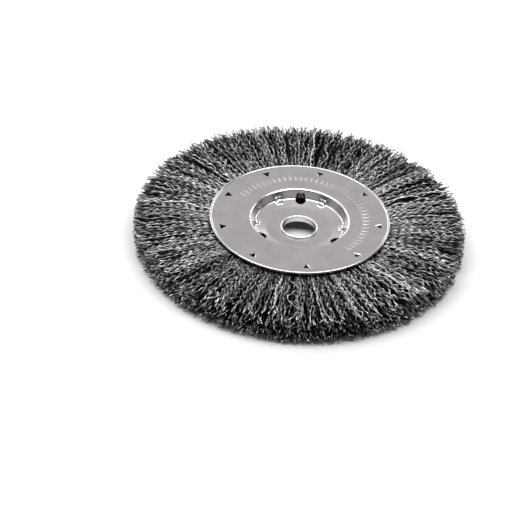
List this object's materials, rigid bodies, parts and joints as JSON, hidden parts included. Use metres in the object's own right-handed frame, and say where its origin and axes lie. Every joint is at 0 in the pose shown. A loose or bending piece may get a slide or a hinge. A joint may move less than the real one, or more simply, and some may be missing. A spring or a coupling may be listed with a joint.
{
  "type": "wheel brush",
  "caption": "Flat round brush of crimped steel wire between pressed side plates with a sunken hub, a lipped arbor bushing and drive pin holes.",
  "frame": {"origin": "centre of the arbor bore, half way between the two side plates", "axes": "+Z along the arbor bore, out of the front side plate; +Y through one of the drive pin holes"},
  "size_m": [0.1524, 0.1524, 0.0144],
  "materials": {
    "plate_steel": "bright zinc-plated pressed sheet steel with a soft satin sheen",
    "bushing_steel": "bright turned and curled steel tube",
    "ring_steel": "plain drawn steel wire",
    "fill_wire": "oil-tempered crimped steel wire, grey with bright glints"
  },
  "bodies": {
    "root": {"front_side_plate": "plate_steel", "back_side_plate": "plate_steel", "arbor_bushing": "bushing_steel", "retaining_ring": "ring_steel", "wire_bundle_01": "fill_wire", "wire_bundle_02": "fill_wire", "wire_bundle_03": "fill_wire", "wire_bundle_04": "fill_wire", "wire_bundle_05": "fill_wire", "wire_bundle_06": "fill_wire", "wire_bundle_07": "fill_wire", "wire_bundle_08": "fill_wire", "wire_bundle_09": "fill_wire", "wire_bundle_10": "fill_wire", "wire_bundle_11": "fill_wire", "wire_bundle_12": "fill_wire", "wire_bundle_13": "fill_wire", "wire_bundle_14": "fill_wire", "wire_bundle_15": "fill_wire", "wire_bundle_16": "fill_wire", "wire_bundle_17": "fill_wire", "wire_bundle_18": "fill_wire"}
  },
  "joints": []
}
